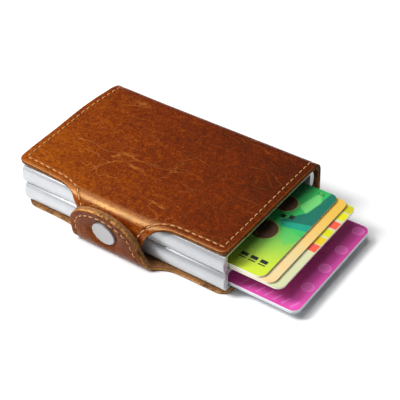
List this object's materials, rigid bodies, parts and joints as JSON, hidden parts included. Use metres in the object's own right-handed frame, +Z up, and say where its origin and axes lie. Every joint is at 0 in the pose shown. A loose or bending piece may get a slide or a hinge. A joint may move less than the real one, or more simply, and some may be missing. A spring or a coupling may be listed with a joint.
{
  "type": "card wallet",
  "caption": "Slim wallet: stacked aluminium card cases in a folding leather cover, with ejector levers that fan the cards and a strap with a magnetic snap.",
  "frame": {"origin": "centre of the cases' footprint, on the underside of the bottom leather that the wallet rests on", "axes": "+X out of the card mouths, +Y towards the spine, +Z up through the lower and then the upper case"},
  "size_m": [0.1281, 0.0738, 0.0214],
  "materials": {
    "leather": "semi-gloss pull-up",
    "lining": "matte split suede",
    "bond": "matte",
    "aluminium": "satin anodised",
    "black_plastic": "satin",
    "felt": "matte felt",
    "steel": "nickel-plated",
    "magnet": "nickel-plated",
    "green_card": "printed, semi-gloss",
    "orange_card": "printed, semi-gloss",
    "cream_card": "printed, semi-gloss",
    "pink_card": "printed, semi-gloss",
    "grey_card": "printed, semi-gloss"
  },
  "bodies": {
    "root": {"bottom_leather": "leather", "bottom_lining": "lining", "lower_bond_pad": "bond", "lower_case": "aluminium", "lower_end_cap": "black_plastic", "lower_front_strip": "felt", "lower_back_strip": "felt", "lower_pivot_pin": "steel"},
    "spine": {"spine_leather": "leather", "spine_lining": "lining"},
    "cover": {"top_leather": "leather", "top_lining": "lining", "upper_bond_pad": "bond", "upper_case": "aluminium", "upper_end_cap": "black_plastic", "upper_front_strip": "felt", "upper_back_strip": "felt", "upper_pivot_pin": "steel", "keeper_rivet": "steel", "keeper_washer": "steel"},
    "strap": {"strap_leather": "leather", "strap_lining": "lining", "snap_cap": "steel", "magnet_cup": "steel", "closure_magnet": "magnet"},
    "upper_lever": {"upper_lever": "black_plastic"},
    "lower_lever": {"lower_lever": "black_plastic"},
    "upper_card_cream": {"upper_card_cream": "cream_card"},
    "upper_card_orange": {"upper_card_orange": "orange_card"},
    "upper_card_green": {"upper_card_green": "green_card"},
    "lower_card_grey": {"lower_card_grey": "grey_card"},
    "lower_card_pink": {"lower_card_pink": "pink_card"}
  },
  "joints": [
    {"name": "spine_fold", "type": "hinge", "parent": "root", "child": "spine", "pos_m": [0, 0.0343, 0.001], "axis": [-1, 0, 0], "range_deg": [0, 90.01]},
    {"name": "cover_fold", "type": "hinge", "parent": "spine", "child": "cover", "pos_m": [0, 0.0343, 0.02015], "axis": [-1, 0, 0], "range_deg": [0, 90]},
    {"name": "strap_fold", "type": "hinge", "parent": "root", "child": "strap", "pos_m": [0, -0.03445, 0.001], "axis": [1, 0, 0], "range_deg": [0, 71]},
    {"name": "lower_lever_pivot", "type": "hinge", "parent": "root", "child": "lower_lever", "pos_m": [-0.0423, -0.0249, 0.0063], "axis": [0, 0, -1], "range_deg": [-40, 0]},
    {"name": "upper_lever_pivot", "type": "hinge", "parent": "cover", "child": "upper_lever", "pos_m": [-0.0423, -0.0249, 0.0148], "axis": [0, 0, -1], "range_deg": [-40, 0]},
    {"name": "upper_card_cream_slide", "type": "slide", "parent": "cover", "child": "upper_card_cream", "axis": [1, 0, 0], "range_m": [-0.02192, 0]},
    {"name": "upper_card_orange_slide", "type": "slide", "parent": "cover", "child": "upper_card_orange", "axis": [1, 0, 0], "range_m": [-0.01842, 0]},
    {"name": "upper_card_green_slide", "type": "slide", "parent": "cover", "child": "upper_card_green", "axis": [1, 0, 0], "range_m": [-0.01422, 0]},
    {"name": "lower_card_grey_slide", "type": "slide", "parent": "root", "child": "lower_card_grey", "axis": [1, 0, 0], "range_m": [-0.02852, 0]},
    {"name": "lower_card_pink_slide", "type": "slide", "parent": "root", "child": "lower_card_pink", "axis": [1, 0, 0], "range_m": [-0.02852, 0]}
  ],
  "couplings": [
    {"joint": "spine_fold", "follows": "cover_fold", "ratio": 1},
    {"joint": "upper_card_cream_slide", "follows": "upper_lever_pivot", "m_per_rad": 0.031369},
    {"joint": "upper_card_orange_slide", "follows": "upper_lever_pivot", "m_per_rad": 0.026356},
    {"joint": "upper_card_green_slide", "follows": "upper_lever_pivot", "m_per_rad": 0.02034},
    {"joint": "lower_card_grey_slide", "follows": "lower_lever_pivot", "m_per_rad": 0.040823},
    {"joint": "lower_card_pink_slide", "follows": "lower_lever_pivot", "m_per_rad": 0.040823}
  ]
}
